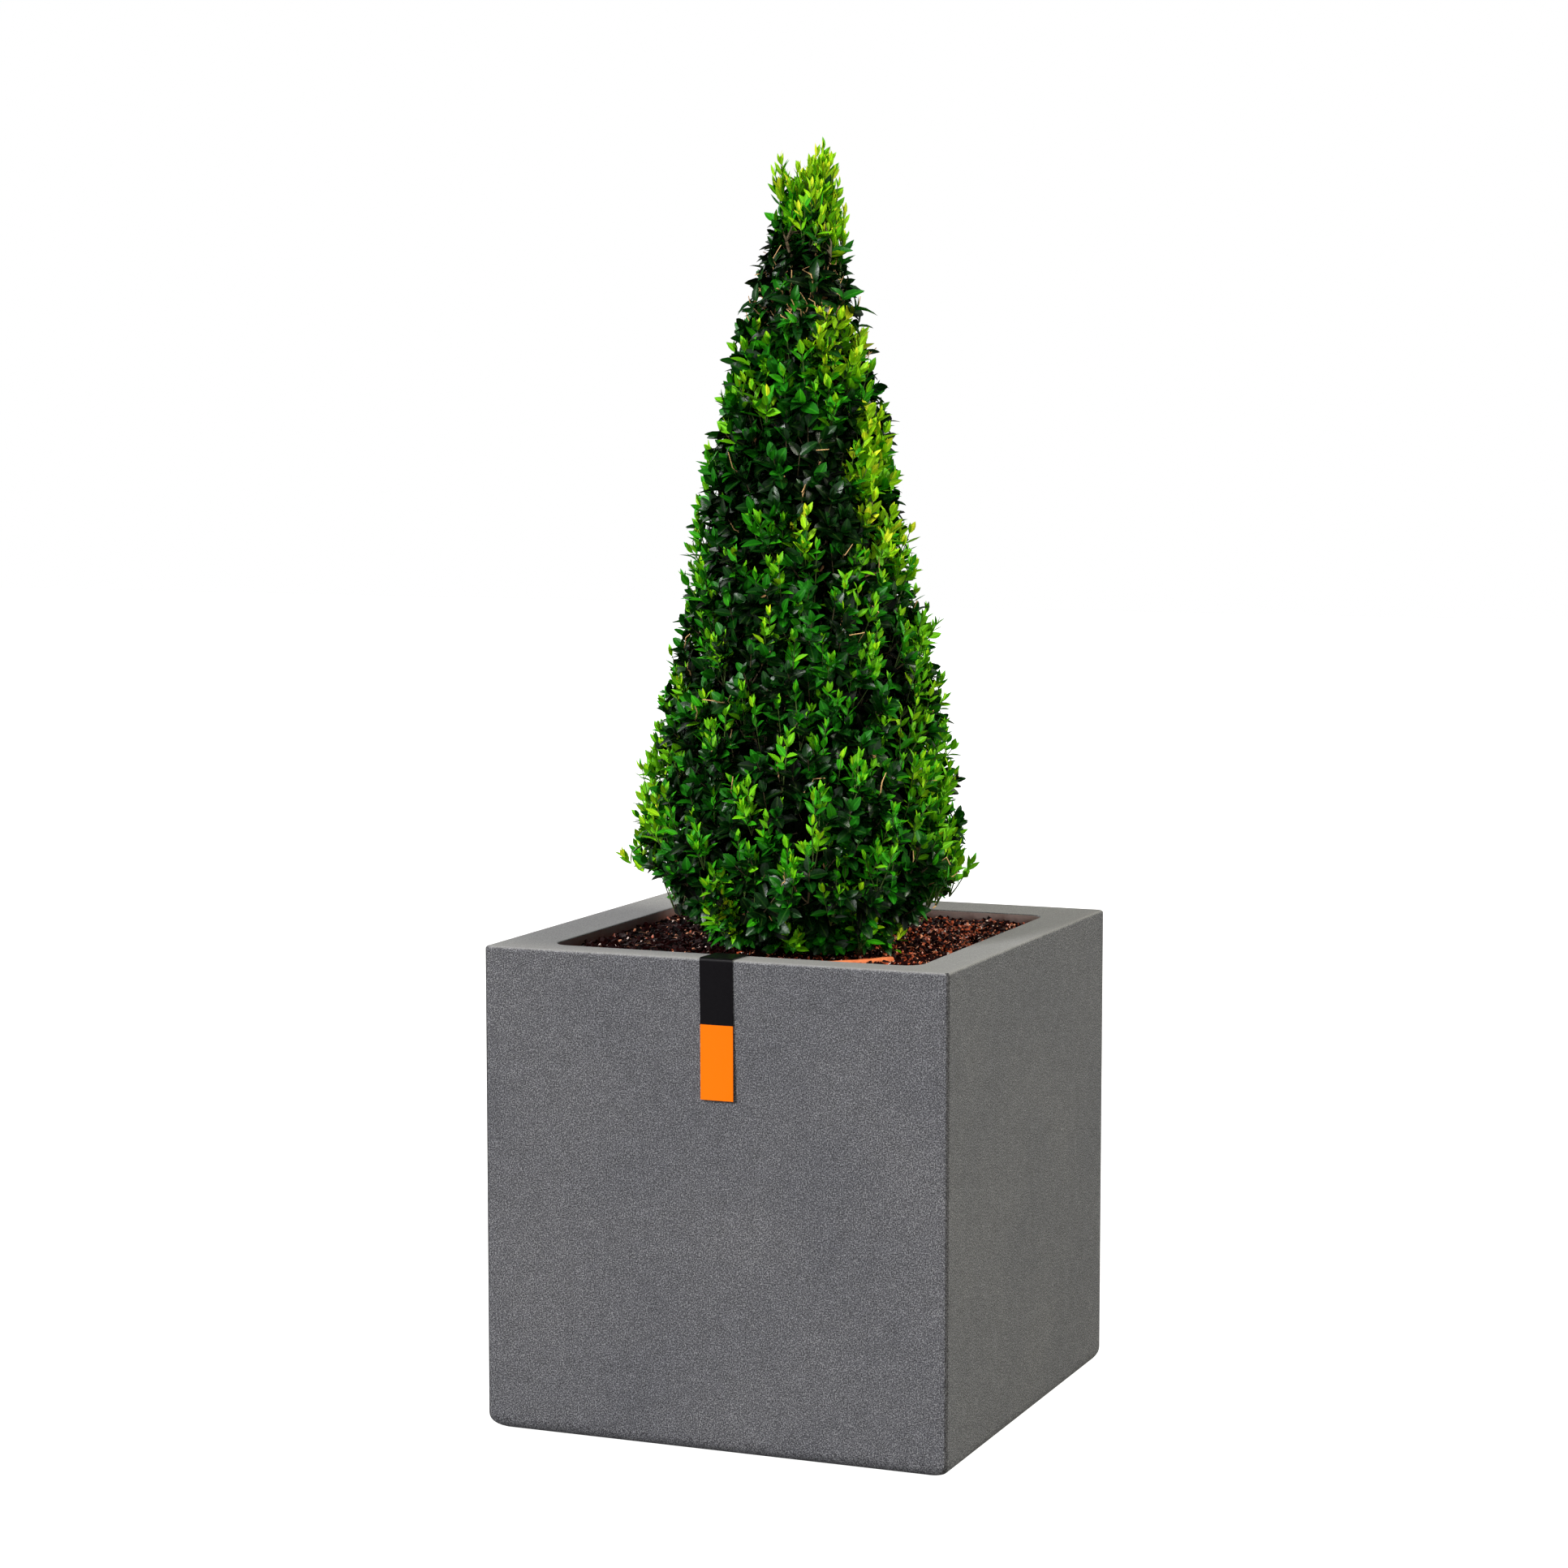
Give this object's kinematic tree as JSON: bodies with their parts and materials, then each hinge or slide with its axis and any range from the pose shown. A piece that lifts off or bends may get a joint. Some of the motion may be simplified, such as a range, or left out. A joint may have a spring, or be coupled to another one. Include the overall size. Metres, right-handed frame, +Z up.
{
  "type": "boxwood cone topiary",
  "caption": "Clipped boxwood cone growing from one stem in a square stone-look planter filled with potting mix, with a blank tag over the rim.",
  "frame": {"origin": "centre of the planter's flat underside, on the surface it stands on", "axes": "+Z up along the plant; -Y is the front face, which carries the tag; +X to the right seen from the front"},
  "size_m": [0.4, 0.4039, 1.055],
  "materials": {
    "planter": "matt grey stone-look composite with fine light and dark speckle",
    "potting_mix": "moist red-brown bark and coir mix with pale flecks",
    "terracotta": "matt unglazed terracotta",
    "tag": "satin coated strip, black above and orange below, with nothing printed on it",
    "bark": "dull grey-brown bark with shallow upright ridges",
    "foliage": "small glossy evergreen leaves, dark inside and bright green at the tips"
  },
  "bodies": {
    "root": {"planter": "planter", "potting_mix": "potting_mix", "grower_pot_rim": "terracotta", "rim_tag": "tag", "stem": "bark", "foliage_skirt": "foliage", "foliage_middle": "foliage", "foliage_upper": "foliage", "foliage_tip": "foliage"}
  },
  "joints": []
}
